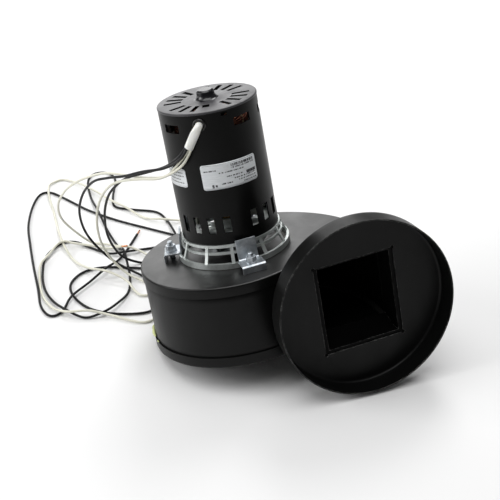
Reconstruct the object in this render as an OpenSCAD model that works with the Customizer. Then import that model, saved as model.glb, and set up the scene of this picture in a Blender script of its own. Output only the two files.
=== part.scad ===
// Draft-inducer combustion fan: an open ventilated motor on a die-cast cage, a
// sheet-metal scroll housing, a square outlet duct and a round vent collar.
// The parts are drawn about the motor shaft (z up, z = 0 on the housing top
// plate, air leaves along +x). placed() then leans the whole fan the way it
// rests on a table: on the edge of its base and on the rim of its collar.

/* [Motor] */
// Radius of the motor shell
motor_r = 42; // [40:0.5:43]
// Height of the shell's lower edge above the housing
motor_z0 = 20; // [19:0.5:21]
// Height of the shell's upper edge above the housing
motor_z1 = 134.2; // [133.6:0.1:136]
// Thickness of the shell sheet
shell_t = 1.2; // [1:0.1:1.4]
// Radius of the motor shaft
shaft_r = 4; // [3.8:0.1:4]
// Radial running clearance in the sleeve bearings
run_gap = 0.03; // [0.02:0.01:0.08]
// Radius of the cup on the top cap that holds the upper bearing
cup_r = 9; // [9:0.1:9.6]

/* [Housing] */
// Radius of the tight side of the scroll
scroll_r1 = 77; // [77:0.5:78]
// Radius of the wide side of the scroll
scroll_r2 = 116.5; // [116.5:0.5:118]
// Height of the housing
hous_h = 74; // [73:0.5:76]
// Depth of the folded flange on the top plate
top_flange = 9; // [6:0.5:12]
// Depth of the folded flange on the base cover
base_flange = 9.5; // [7:0.5:12]
// Thickness of the housing sheet
sheet = 1; // [0.9:0.05:1.1]
// Radius of the air inlet in the base cover
inlet_r = 41; // [38:0.5:42]
// Diameter of the bolt circle in the base cover
base_pcd = 120; // [116:1:124]
// Radius of the bolt holes in the base cover
base_hole_r = 2.75; // [2.2:0.05:3.2]

/* [Outlet] */
// Outer radius of the round collar
collar_r = 77; // [75:0.5:78]
// Depth of the collar
collar_d = 22.2; // [20:0.2:24]
// Width of the square hole in the collar
hole_w = 71; // [70:0.5:72]
// Height of the square hole in the collar
hole_h = 80; // [79:0.5:81]
// Bend radius round the back of the collar
collar_bend = 3.5; // [2.5:0.5:4.5]

/* [Wheel] */
// Radius of the blower wheel
wheel_r = 60; // [56:1:61]
// Height of the blades
blade_h = 40; // [36:1:41]
// Number of blades
blade_n = 28; // [20:1:32]

/* [Leads] */
// Diameter of a motor lead
lead_d = 2.4; // [2.2:0.1:2.4]
// Length of bare strand at the end of a lead
bare_len = 8; // [5:1:10]

/* [Rest] */
// Lean of the motor shaft from upright, degrees
lean = 12.4; // [12.2:0.1:12.6]
// Direction of the lean, degrees from the outlet
lean_dir = 20.3; // [20:0.1:20.6]

/* [Hidden] */

$fn = 96;
c1 = [4, -8];                              // centre of the tight arc
c2 = [c1[0] - scroll_r1 + scroll_r2, -8];  // centre of the wide arc
duct_y0 = 40.5;                            // near side of the outlet
duct_y1 = c2[1] + scroll_r2;               // far side of the outlet
duct_x0 = 64;                              // scroll wall ends, duct begins
plate_x1 = 86;                             // top plate ends
collar_y = 74.5;
collar_z = -38.5;
collar_x0 = 90.3;                          // back face of the collar
collar_x1 = collar_x0 + collar_d;          // front rim of the collar
duct_z1 = -1.2;                            // duct roof
duct_z0 = -78;                             // duct floor at the collar
cap_z = motor_z1 + 1.8;                    // face of the top cap
clip_dirs = [-1.5, -106, 150];
clip_shift = [0, -2, 0];
clip_foot = [64.8, 61.5, 64.8];
rib_dirs = [-79.5, -46, -17, 18.5, 50, 82, 118, 174, 206, 237];
stud_at = 57;
bolt_at = 36.8;
vent_step = 18.7;
grommet_dir = -26.7;
grommet_z = 126;

// ---- resting position ----
nrm = [sin(lean) * cos(lean_dir), sin(lean) * sin(lean_dir), cos(lean)];
kax = [sin(lean_dir), -cos(lean_dir), 0];
// a direction of the resting frame, written in the drawing frame
function back(e) = e * cos(lean) - cross(kax, e) * sin(lean) + kax * (kax * e) * (1 - cos(lean));
// how far a disc of centre c, axis a and radius r reaches along e
function reach(c, a, r, e) = c * e + r * sqrt(max(0, 1 - (a * e) * (a * e)));
function far(e) = max(
  reach([collar_x1, collar_y, collar_z], [1, 0, 0], collar_r, e),
  reach([collar_x0 + collar_bend, collar_y, collar_z], [1, 0, 0], collar_r - collar_bend, e) + collar_bend,
  reach([c1[0], c1[1], -hous_h], [0, 0, 1], scroll_r1 + 0.2, e),
  reach([c1[0], c1[1], 0], [0, 0, 1], scroll_r1, e),
  reach([0, 0, cap_z + 7.8], [0, 0, 1], 6, e),
  reach([0, 0, motor_z1 + 0.9], [0, 0, 1], motor_r + 0.3, e));
ux = back([1, 0, 0]);
uy = back([0, 1, 0]);
uz = back([0, 0, 1]);
shift = [-(far(ux) - far(-ux)) / 2, -(far(uy) - far(-uy)) / 2, far(-uz)];
module placed() translate(shift) rotate(a = lean, v = kax) children();

// ---- helpers ----
module ring(r0, r1, z0, z1) translate([0, 0, z0]) difference() {
  cylinder(r = r1, h = z1 - z0);
  translate([0, 0, -1]) cylinder(r = r0, h = z1 - z0 + 2);
}
module around(n, a0 = 0) for (i = [0 : n - 1]) rotate([0, 0, a0 + i * 360 / n]) children();
module scroll2d(d, xe) {
  translate(c1) circle(r = scroll_r1 + d, $fn = 180);
  intersection() {
    translate(c2) circle(r = scroll_r2 + d, $fn = 240);
    translate([c2[0] - 200, c2[1]]) square([200, 200]);
  }
  translate([c2[0] - 0.5, duct_y0 - d]) square([xe - c2[0] + 0.5, duct_y1 - duct_y0 + 2 * d]);
}
module slab(d, xe, z0, z1) translate([0, 0, z0]) linear_extrude(z1 - z0) scroll2d(d, xe);

// ---- housing ----
module top_plate() color("#2a2b2b") placed() difference() {
  slab(0, plate_x1, -top_flange, 0);
  slab(-sheet + 0.05, plate_x1 + 5, -top_flange - 1, duct_z1);
  translate([0, 0, -5]) cylinder(r = 7, h = 10);
}
module scroll_wall() color("#1b1c1b") placed() difference() {
  slab(-sheet, duct_x0, -hous_h + 2.2, duct_z1);
  slab(-2 * sheet, duct_x0 + 5, -hous_h, 0);
}
module base_cover() color("#1e1f1e") placed() difference() {
  slab(0.2, duct_x0, -hous_h, -hous_h + base_flange);
  slab(-sheet + 0.05, duct_x0 + 5, -hous_h + 1.2, 0);
  translate([0, 0, -hous_h - 1]) cylinder(r = inlet_r, h = 4);
  around(4, 45) translate([base_pcd / 2, 0, -hous_h - 1]) cylinder(r = base_hole_r, h = 4);
}
module seam_gasket() color("#b9bd8a") placed() difference() {
  slab(-sheet - 0.05, duct_x0, -hous_h + 1.2, -hous_h + 2.2);
  slab(-7, duct_x0 + 5, -hous_h, 0);
}
module inlet_ring() color("#8f9494") placed() rotate_extrude($fn = 128) polygon([
  [inlet_r, -hous_h + 1.2], [inlet_r + 11, -hous_h + 1.2], [inlet_r + 11, -hous_h + 2.2],
  [inlet_r + 4, -hous_h + 2.2], [inlet_r + 2, -hous_h + 6], [inlet_r + 1.5, -hous_h + 13.5],
  [inlet_r + 0.5, -hous_h + 13.5], [inlet_r + 0.8, -hous_h + 5]]);
module duct_side(g) polygon([
  [duct_x0 - (g > 0 ? 5 : 0), duct_z1 - g], [collar_x0 + (g > 0 ? 5 : 0), duct_z1 - g],
  [collar_x0 + (g > 0 ? 5 : 0), duct_z0 + g], [duct_x0 + 14, duct_z0 + g],
  [duct_x0 + 1.5, -hous_h + 1.2 + g], [duct_x0 - (g > 0 ? 5 : 0), -hous_h + 1.2 + g]]);
module duct_block(g, y0, y1) translate([0, y1, 0]) rotate([90, 0, 0])
  linear_extrude(y1 - y0) duct_side(g);
module outlet_duct() color("#141514") placed() difference() {
  union() {
    duct_block(0, duct_y0 + sheet, duct_y1 - sheet);
    translate([collar_x0 - 1, collar_y - hole_w / 2 - 4, -hole_h - 4]) cube([1, hole_w + 8, hole_h + 8]);
  }
  duct_block(sheet, duct_y0 + 2 * sheet, duct_y1 - 2 * sheet);
}
module outlet_collar() color("#1c1d1c") placed() difference() {
  translate([collar_x0, collar_y, collar_z]) rotate([0, 90, 0]) difference() {
    rotate_extrude($fn = 180) {
      translate([collar_r - collar_bend, collar_bend]) circle(r = collar_bend, $fn = 48);
      square([collar_r - collar_bend, collar_d]);
      translate([0, collar_bend]) square([collar_r, collar_d - collar_bend]);
    }
    rotate_extrude($fn = 180) {
      translate([collar_r - collar_bend, collar_bend]) circle(r = collar_bend - 1.2, $fn = 48);
      translate([0, 1.2]) square([collar_r - collar_bend, collar_d]);
      translate([0, collar_bend]) square([collar_r - 1.2, collar_d]);
    }
  }
  translate([collar_x0 - 1, collar_y - hole_w / 2, -hole_h]) cube([4, hole_w, hole_h]);
  for (y = [collar_y - hole_w / 2, collar_y + hole_w / 2]) translate([collar_x0 - 1, y, -hole_h])
    rotate([0, 90, 0]) cylinder(r = 1.6, h = 4, $fn = 24);
}
module cutoff_plate() color("#2e2f2e") placed() translate([0, 0, -hous_h + 2.3]) {
  translate([52, duct_y0 + 2 * sheet, 0]) cube([23, 1, hous_h - 2.3 + duct_z1 - sheet - 0.1]);
  translate([52, duct_y0 + 2 * sheet + 1.5, 0]) cylinder(r = 1.5, h = hous_h - 2.3 + duct_z1 - sheet - 0.1, $fn = 32);
}
module shaft_seal() color("#7a2f22") placed() ring(shaft_r + 0.4, 11, 0, 2);

// ---- motor seat ----
module cage_gasket() color("#5d5f5a") placed() ring(43.5, 49, 0, 0.6);
module cage_rib() rotate([90, 0, 0]) translate([0, 0, -1.4]) linear_extrude(2.8)
  polygon([[47.2, 4.6], [49, 4.6], [45.4, 12.4], [43.3, 18.4], [43, 20], [41.4, 20], [41.6, 17.6], [43.8, 12]]);
module motor_cage() color("#b4b9b6") placed() difference() {
  union() {
    ring(46.9, 49.2, 0.6, 5.4);
    ring(42.9, 44.6, 12, 14.2);
    ring(40.9, 43.2, 17.5, 20);
    for (a = rib_dirs) rotate([0, 0, a]) cage_rib();
    around(4) intersection() {
      union() {
        translate([bolt_at, 0, 17.5]) cylinder(r = 4.2, h = 2.5);
        translate([bolt_at, -4.2, 17.5]) cube([6, 8.4, 2.5]);
      }
      cylinder(r = 42, h = 30);
    }
  }
  around(4) translate([bolt_at, 0, 10]) cylinder(r = 2.2, h = 15, $fn = 32);
}
module clip(i) difference() {
  foot = clip_foot[i] - clip_shift[i];
  union() {
    rotate([90, 0, 0]) translate([0, 0, -8.75]) linear_extrude(17.5)
      polygon([[47.35, 5.4], [45.9, 24], [47.3, 24.3], [48.8, 7.4], [49.6, 6.8], [51, 6.8], [51, 5.4]]);
    rotate([90, 0, 0]) translate([0, 0, -10.25]) linear_extrude(20.5)
      polygon([[50, 5.4], [50, 6.8], [foot - 1.2, 6.8], [foot, 5.6], [foot, 0], [foot - 1.4, 0], [foot - 1.4, 5.4]]);
  }
  translate([stud_at, 0, 0]) cylinder(r = 2.9, h = 10, $fn = 32);
}
module clip_at(i) rotate([0, 0, clip_dirs[i]]) translate([clip_shift[i], 0, 0]) children();
module at_studs() for (i = [0 : 2]) clip_at(i) translate([stud_at, 0, 0]) children();
module front_clip() color("#9aa3ab") placed() clip_at(0) clip(0);
module left_clip() color("#9aa3ab") placed() clip_at(1) clip(1);
module rear_clip() color("#9aa3ab") placed() clip_at(2) clip(2);
module clip_studs() color("#aab0b6") placed() at_studs() {
  cylinder(r = 2.4, h = 14.6, $fn = 32);
  translate([0, 0, 14.6]) cylinder(r1 = 2.4, r2 = 1.7, h = 0.8, $fn = 32);
}
module clip_washers() color("#b7bcc0") placed() at_studs() ring(2.6, 5, 6.8, 7.7, $fn = 40);
module clip_nuts() color("#a6acb2") placed() at_studs() difference() {
  translate([0, 0, 7.7]) cylinder(r = 4.6, h = 4, $fn = 6);
  translate([0, 0, 7]) cylinder(r = 2.45, h = 6, $fn = 32);
}

// ---- motor ----
module windows(n, a0, w, z0, z1) around(n, a0) translate([motor_r - 6, -w / 2, z0]) cube([12, w, z1 - z0]);
module wedge(a, z0, z1) rotate([0, 0, -a / 2]) rotate_extrude(angle = a)
  translate([motor_r - 4, z0]) square([8, z1 - z0]);
module motor_shell() color("#232423") placed() difference() {
  ring(motor_r - shell_t, motor_r, motor_z0, motor_z1);
  for (g = [0 : 3], i = [-1.5 : 1.5]) rotate([0, 0, 45.5 + 90 * g + vent_step * i])
    translate([motor_r - 6, -3.2, 30.5]) cube([12, 6.4, 14.5]);
  for (a = [24, 70, 115, 160, 205, 295]) rotate([0, 0, a]) wedge(23.5, 119, 126);
  rotate([0, 0, 2.5]) wedge(7, 130, 132.9);
  rotate([0, 0, grommet_dir]) translate([30, 0, grommet_z]) rotate([0, 90, 0]) cylinder(r = 4.4, h = 20, $fn = 40);
}
module motor_top_cap() color("#3a393c") placed() difference() {
  union() {
    rotate_extrude($fn = 128) difference() {
      union() {
        translate([0, motor_z1 - 2.5]) square([motor_r - shell_t - 0.05, 2.6]);
        translate([0, motor_z1]) square([motor_r + 0.3, 0.9]);
        translate([0, motor_z1]) square([motor_r - 0.6, 1.8]);
        translate([motor_r - 0.6, motor_z1 + 0.9]) circle(r = 0.9, $fn = 40);
      }
      translate([-1, 120]) square([motor_r - shell_t - 2, motor_z1 - 120]);
    }
    rotate_extrude($fn = 96) polygon([[0, cap_z - 1], [cup_r + 1.5, cap_z - 1], [cup_r + 1.5, cap_z],
      [cup_r, cap_z + 0.8], [cup_r - 1.4, cap_z + 3], [cup_r - 1.6, cap_z + 6.6], [cup_r - 3, cap_z + 7.8], [0, cap_z + 7.8]]);
    ring(shaft_r + 2, cup_r + 1.5, motor_z1 - 8, motor_z1 + 0.5);
    around(4) translate([bolt_at, 0, motor_z1 - 9]) cylinder(r = 3.6, h = 9.5, $fn = 40);
  }
  translate([0, 0, motor_z1 - 9]) cylinder(r = 6.5, h = 15);
  around(4) translate([bolt_at, 0, motor_z1 - 10]) cylinder(r = 2.05, h = 9.5, $fn = 32);
  for (g = [0 : 3], i = [-1.5 : 1.5]) rotate([0, 0, 45 + 90 * g + 18.5 * i])
    translate([g == 3 && i == 1.5 ? 20.5 : 21.4, g == 3 && i == 1.5 ? -2.9 : -2, motor_z1 - 0.2])
      cube([g == 3 && i == 1.5 ? 7 : 14.8, g == 3 && i == 1.5 ? 5.8 : 4, 4]);
}
module motor_bottom_bell() color("#9aa09d") placed() difference() {
  union() {
    translate([0, 0, motor_z0]) cylinder(r = motor_r - shell_t - 0.05, h = 1.6);
    translate([0, 0, motor_z0]) cylinder(r = 11, h = 10);
  }
  translate([0, 0, motor_z0 - 1]) cylinder(r = 6.5, h = 12);
  around(8, 22.5) translate([22, 0, motor_z0 - 1]) cylinder(r = 6, h = 4, $fn = 48);
  around(4) translate([bolt_at, 0, motor_z0 - 1]) cylinder(r = 2.2, h = 4, $fn = 32);
}
module stator_core() color("#6d6a66") placed() difference() {
  ring(22.6, motor_r - shell_t - 0.02, 62, 106);
  around(18) translate([24.5, -1.6, 61]) cube([8, 3.2, 46]);
  around(18) translate([22, -0.7, 61]) cube([4, 1.4, 46]);
  around(4) translate([bolt_at, 0, 61]) cylinder(r = 2.3, h = 46, $fn = 32);
}
module stator_windings() color("#b0512b") placed() {
  around(18) translate([24.9, -1.3, 61.5]) cube([7.2, 2.6, 45]);
  for (z = [52, 116]) translate([0, 0, z]) rotate_extrude($fn = 96)
    polygon([[25, -9.6], [31, -9.6], [32.5, -6], [32.5, 6], [31, 9.6], [25, 9.6], [24, 6], [24, -6]]);
}
module upper_bearing() color("#b08d57") placed() ring(shaft_r + run_gap, 6.5, motor_z1 - 7.5, motor_z1 + 3);
module lower_bearing() color("#b08d57") placed() ring(shaft_r + run_gap, 6.5, motor_z0 + 0.4, motor_z0 + 9.6);
module through_bolts() color("#a9aeb2") placed() around(4) translate([bolt_at, 0, 0]) {
  translate([0, 0, 14.7]) cylinder(r = 3.6, h = 2.8, $fn = 6);
  translate([0, 0, 17.4]) cylinder(r = 2, h = motor_z1 - 18.4, $fn = 32);
}
module lead_grommet() color("#151515") placed() rotate([0, 0, grommet_dir]) translate([0, 0, grommet_z])
  rotate([0, 90, 0]) rotate_extrude($fn = 48) polygon([[3.4, 38.6], [5.4, 38.6], [5.4, 40.2], [4.3, 40.3],
    [4.3, 42.05], [5.5, 42.1], [5.5, 43], [5.1, 43.6], [4.6, 43.8], [4.1, 43.5], [3.65, 43.1], [3.4, 42.3]]);
module label(a0, a1, z0, z1) rotate([0, 0, a0]) rotate_extrude(angle = a1 - a0, $fn = 180)
  translate([motor_r + 0.02, z0]) square([0.25, z1 - z0]);
module rating_label() color("#d3d5d6") placed() label(-35.5, 31.5, 69.5, 91.5);
module wiring_label() color("#dcdedf") placed() label(-101, -56, 72, 88.5);

// ---- rotor and wheel ----
module shaft() color("#c2c6c9") placed() difference() {
  translate([0, 0, -38]) cylinder(r = shaft_r, h = motor_z1 + 4 + 38);
  translate([shaft_r - 0.8, -5, -39]) cube([5, 10, 24]);
}
module rotor_core() color("#8d8f90") placed() {
  ring(shaft_r, 22.2, 61, 107);
  for (z = [58, 107]) ring(12, 21.8, z, z + 3);
}
module thrust_washers() color("#cfae6a") placed() {
  ring(shaft_r, 7.5, motor_z1 - 9.4, motor_z1 - 8.2);
  ring(shaft_r, 7.5, motor_z0 + 10.2, motor_z0 + 11.4);
}
module motor_fan() color("#d9d9d2") placed() {
  ring(shaft_r, 10, 34, 41);
  ring(9.5, 20, 39.6, 41);
  around(10) translate([19.5, -0.6, 33]) cube([13, 1.2, 8]);
}
module heat_slinger() color("#b9bcbd") placed() {
  ring(shaft_r, 8, 7, 14);
  ring(7.5, 30, 7, 8);
  around(8) translate([15, -0.5, 7.5]) cube([14.5, 1, 5.5]);
}
module wheel_hub() color("#a7abad") placed() difference() {
  ring(shaft_r, 10, -34, -14.2);
  translate([0, 0, -26]) rotate([0, 90, 0]) cylinder(r = 2, h = 14, $fn = 32);
}
module wheel_back_plate() color("#7f8486") placed() ring(9, wheel_r, -14.2, -13);
module wheel_blades() color("#8b9092") placed() around(blade_n) intersection() {
  translate([wheel_r - 5.2, 4.5, -14.2 - blade_h]) ring(6, 6.8, 0, blade_h, $fn = 48);
  translate([wheel_r - 11, -4, -14.2 - blade_h]) cube([10.4, 9, blade_h]);
  translate([0, 0, -60]) cylinder(r = wheel_r - 0.3, h = 60);
}
module wheel_rim() color("#7f8486") placed() ring(wheel_r - 13, wheel_r, -15.4 - blade_h, -14.2 - blade_h);
module set_screw() color("#4a4c4e") placed() translate([3.3, 0, -26]) rotate([0, 90, 0]) difference() {
  cylinder(r = 1.95, h = 6, $fn = 32);
  translate([0, 0, 3.5]) cylinder(r = 1, h = 3, $fn = 6);
}

// ---- motor leads ----
// The leads leave the sleeve in a square bundle, hang down in an arc and lie in
// loops on the surface. Each route is a list of points in the resting frame, in
// whole millimetres; a lead rises in a low hump where it passes over another.
leg_a = -33.5;                             // swing of the sleeve's hanging leg
leg_r = 47.2;
leg_end = 20;
function turned(e) = e * cos(lean) + cross(kax, e) * sin(lean) + kax * (kax * e) * (1 - cos(lean));
function by_grommet(p) = [p.x * cos(grommet_dir) - p.y * sin(grommet_dir),
  p.x * sin(grommet_dir) + p.y * cos(grommet_dir), p.z];
exit_at = turned(by_grommet([leg_r, leg_end * sin(leg_a), grommet_z - leg_end * cos(leg_a)])) + shift;
exit_dir = turned(by_grommet([0, sin(leg_a), -cos(leg_a)]));
exit_u = unit(cross(exit_dir, [0, 0, 1]));
exit_v = -cross(exit_dir, exit_u);
function start_at(a, b) = exit_at + 1.75 * a * exit_u + 1.75 * b * exit_v;
function unit(v) = v / norm(v);
function spline(a, b, c, d, t) = a * (-t / 2 + t * t - t * t * t / 2) + b * (1 - 2.5 * t * t + 1.5 * t * t * t)
  + c * (t / 2 + 2 * t * t - 1.5 * t * t * t) + d * (t * t * t / 2 - t * t / 2);
function above(p) = [p.x, p.y, max(p.z, lead_d / 2)];
function route(P, m = 2) = let(n = len(P) - 1) [for (i = [0 : n - 1], j = [0 : m - 1])
  above(spline(P[max(i - 1, 0)], P[i], P[i + 1], P[min(i + 2, n)], j / m)), above(P[n])];
function heading(Q, i) = i == 0 ? exit_dir : unit(Q[min(i + 1, len(Q) - 1)] - Q[i - 1]);
module tube(Q, k = 8) {
  n = len(Q);
  polyhedron([for (i = [0 : n - 1]) let(t = heading(Q, i), u = unit(cross(t, [0, 0, 1])), v = cross(t, u))
      for (j = [0 : k - 1]) Q[i] + lead_d / 2 * (u * cos((j + 0.5) * 360 / k) + v * sin((j + 0.5) * 360 / k))],
    concat([[for (j = [0 : k - 1]) j]],
      [for (i = [0 : n - 2], j = [0 : k - 1]) let(a = i * k, q = (j + 1) % k) [a + j, a + k + j, a + q]],
      [for (i = [0 : n - 2], j = [0 : k - 1]) let(a = i * k, q = (j + 1) % k) [a + q, a + k + j, a + k + q]],
      [[for (j = [k - 1 : -1 : 0]) (n - 1) * k + j]]));
}
module tip(P) {
  Q = route(P);
  d = heading(Q, len(Q) - 1);
  translate(Q[len(Q) - 1]) rotate([0, acos(d.z), atan2(d.y, d.x)]) cylinder(r = 0.85, h = bare_len, $fn = 24);
}
black_a = concat([start_at(-1, 1)], [
  [-22, -80, 189], [-41, -89, 173], [-60, -104, 163], [-80, -116, 151], [-102, -126, 140],
  [-125, -136, 126], [-150, -143, 100], [-167, -145, 70], [-173, -138, 40], [-164, -119, 14],
  [-145, -95, 1.5], [-123, -84, 1.5], [-98, -88, 1.5], [-84, -105, 1.5], [-92, -134, 1.5],
  [-109, -155, 1.5], [-133, -165, 1.5], [-156, -164, 1.5], [-172, -149, 1.5],
  [-174, -128, 1.5], [-162, -100, 1.5], [-148, -68, 1.5], [-149, -43, 1.5], [-162, -31, 1.5],
  [-180, -30, 1.5], [-200, -40, 1.5], [-225, -63, 1.5], [-256, -92, 1.5], [-288, -116, 1.5],
  [-323, -135, 1.5], [-342, -147, 1.5], [-342, -159, 1.5], [-318, -172, 1.5],
  [-281, -183, 1.5], [-242, -188, 1.5], [-202, -192, 1.5], [-162, -195, 1.5],
  [-130, -198, 1.5], [-112, -193, 1.5], [-114, -181, 1.5], [-132, -168, 4], [-150, -146, 4],
  [-165, -126, 6], [-185, -106, 1.5], [-222, -80, 1.5]]);
black_b = concat([start_at(1, 1)], [
  [-26, -80, 189], [-45, -87, 172], [-61, -100, 161], [-82, -111, 148], [-102, -118, 132],
  [-122, -124, 110], [-140, -126, 80], [-155, -122, 46], [-167, -109, 15], [-168, -90, 1.5],
  [-161, -72, 1.5], [-158, -59, 1.5], [-164, -48, 1.5], [-178, -47, 1.5], [-188, -58, 1.5],
  [-191, -78, 1.5], [-189, -100, 4.5], [-195, -116, 2.5], [-213, -130, 1.5],
  [-231, -143, 1.5], [-233, -158, 1.5], [-216, -176, 1.5], [-190, -185, 1.5],
  [-160, -189, 1.5], [-134, -186, 2.5], [-112, -178, 5], [-97, -163, 1.5], [-96, -145, 4],
  [-104, -130, 4.5], [-122, -115, 1.5], [-146, -107, 1.5], [-168, -104, 5],
  [-186, -103, 9.5], [-200, -104, 2.5], [-238, -107, 1.5], [-278, -108, 4.5],
  [-316, -108, 1.5], [-352, -103, 1.5], [-366, -92, 1.5], [-362, -78, 1.5], [-343, -74, 1.5],
  [-308, -85, 1.5], [-286, -88, 1.5], [-273, -73, 1.5], [-258, -50, 1.5], [-238, -44, 1.5],
  [-212, -44, 4.5], [-190, -44, 3.5]]);
white_a = concat([start_at(-1, -1)], [
  [-24, -79, 181], [-40, -93, 165], [-61, -107, 156], [-83, -118, 145], [-103, -125, 131],
  [-122, -130, 111], [-136, -133, 89], [-147, -133, 64], [-155, -129, 40], [-157, -121, 20],
  [-148, -109, 6], [-133, -95, 1.5], [-120, -91, 1.5], [-112, -94, 1.5], [-112, -103, 1.5],
  [-120, -108, 2], [-138, -113, 5.5], [-155, -128, 9], [-174, -143, 5], [-198, -152, 1.5],
  [-224, -156, 4], [-250, -156, 4], [-276, -154, 1.5], [-303, -152, 1.5], [-330, -151, 4],
  [-353, -147, 4], [-364, -140, 1.5], [-367, -131, 1.5], [-362, -123, 1.5], [-342, -111, 4],
  [-318, -99, 4], [-295, -89, 4], [-275, -78, 4], [-252, -65, 1.5], [-235, -49, 5.5],
  [-228, -28, 2.5]]);
white_b = concat([start_at(1, -1)], [
  [-29, -81, 180], [-43, -88, 164], [-60, -99, 156], [-83, -106, 147], [-107, -115, 139],
  [-130, -125, 130], [-152, -135, 117], [-171, -145, 103], [-188, -154, 86],
  [-204, -159, 64], [-216, -156, 41], [-222, -143, 19], [-223, -128, 2.5], [-217, -118, 2],
  [-202, -106, 5], [-192, -94, 6.5], [-176, -80, 3], [-152, -72, 4.5], [-127, -68, 1.5],
  [-101, -74, 1.5], [-79, -89, 1.5], [-70, -105, 1.5], [-72, -118, 1.5], [-88, -138, 3],
  [-98, -158, 7.5], [-106, -177, 6], [-121, -188, 3], [-146, -193, 1.5], [-173, -191, 1.5],
  [-199, -185, 4], [-215, -173, 4], [-226, -163, 6], [-228, -155, 7], [-224, -146, 5],
  [-214, -131, 4.5], [-206, -116, 2], [-192, -103, 9.5]]);
module lead_sleeve() color("#f0f0ea") placed() rotate([0, 0, grommet_dir]) translate([0, 0, grommet_z]) rotate([leg_a, 0, 0]) {
  translate([38.9, 0, 0]) rotate([0, 90, 0]) cylinder(r = 3.2, h = leg_r - 5 - 38.9, $fn = 48);
  translate([leg_r - 5, 0, -5]) rotate([90, 0, 0]) rotate_extrude(angle = 90, $fn = 96) translate([5, 0]) circle(r = 3.2, $fn = 48);
  translate([leg_r, 0, -leg_end]) cylinder(r1 = 4, r2 = 3.2, h = leg_end - 5, $fn = 48);
}
module black_lead_a() color("#141415") tube(route(black_a));
module black_lead_b() color("#141415") tube(route(black_b));
module white_lead_a() color("#e6e4d2") tube(route(white_a));
module white_lead_b() color("#e6e4d2") tube(route(white_b));
module bare_tips() color("#b8672f") for (P = [black_a, black_b, white_a, white_b]) tip(P);

top_plate();
scroll_wall();
base_cover();
seam_gasket();
inlet_ring();
outlet_duct();
outlet_collar();
cutoff_plate();
shaft_seal();
cage_gasket();
motor_cage();
front_clip();
left_clip();
rear_clip();
clip_studs();
clip_washers();
clip_nuts();
motor_shell();
motor_top_cap();
motor_bottom_bell();
stator_core();
stator_windings();
upper_bearing();
lower_bearing();
through_bolts();
lead_grommet();
lead_sleeve();
rating_label();
wiring_label();
shaft();
rotor_core();
thrust_washers();
motor_fan();
heat_slinger();
wheel_hub();
wheel_back_plate();
wheel_blades();
wheel_rim();
set_screw();
black_lead_a();
black_lead_b();
white_lead_a();
white_lead_b();
bare_tips();
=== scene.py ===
import bpy
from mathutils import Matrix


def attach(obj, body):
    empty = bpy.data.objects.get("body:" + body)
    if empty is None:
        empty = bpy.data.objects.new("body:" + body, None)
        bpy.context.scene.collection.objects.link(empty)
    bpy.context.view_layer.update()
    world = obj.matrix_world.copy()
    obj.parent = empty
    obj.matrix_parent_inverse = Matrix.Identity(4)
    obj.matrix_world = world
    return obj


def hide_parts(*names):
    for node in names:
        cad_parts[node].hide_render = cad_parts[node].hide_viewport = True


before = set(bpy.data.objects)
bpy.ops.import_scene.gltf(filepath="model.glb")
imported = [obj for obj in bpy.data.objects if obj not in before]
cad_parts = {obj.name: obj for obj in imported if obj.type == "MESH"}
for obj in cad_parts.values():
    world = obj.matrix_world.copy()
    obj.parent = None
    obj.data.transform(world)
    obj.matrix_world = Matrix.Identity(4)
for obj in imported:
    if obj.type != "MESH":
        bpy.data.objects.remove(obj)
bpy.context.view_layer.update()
import bpy, bmesh, math, random
from mathutils import Vector, Matrix, noise

scene = bpy.context.scene
MM = 0.001

# ---------------------------------------------------------------- frames
ROT = Matrix(((0.97948, -0.007591, -0.201398), (-0.007591, 0.997192, -0.074499), (0.201398, 0.074499, 0.976672)))
SHIFT = Vector((-30.7274, -34.3255, 88.6545))


def row(p):
    """A point of the fan's own frame (shaft along z, mm) in the row frame, metres."""
    return (ROT @ Vector(p) + SHIFT) * MM


def rowdir(d):
    return ROT @ Vector(d)


# ---------------------------------------------------------------- camera
cam = bpy.data.cameras.new("photo_view")
cam.sensor_width = 36
cam.lens = 1179.013 / 500 * 36
cam.clip_start = 0.05
cam.clip_end = 30
cam_ob = bpy.data.objects.new("photo_view", cam)
scene.collection.objects.link(cam_ob)
RIGHT = Vector((0.328463, 0.943996, -0.031359))
DOWN = Vector((0.501538, -0.202451, -0.841114))
AHEAD = Vector((-0.800357, 0.260548, -0.539948))
m = Matrix((RIGHT, -DOWN, -AHEAD)).transposed().to_4x4()
m.translation = Vector((0.802617, -0.291384, 0.643725))
cam_ob.matrix_world = m
scene.camera = cam_ob

# ---------------------------------------------------------------- materials
def nt(name):
    mt = bpy.data.materials.new(name)
    mt.use_nodes = True
    t = mt.node_tree
    t.nodes.clear()
    out = t.nodes.new("ShaderNodeOutputMaterial")
    b = t.nodes.new("ShaderNodeBsdfPrincipled")
    t.links.new(b.outputs[0], out.inputs[0])
    return mt, t, b


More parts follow.
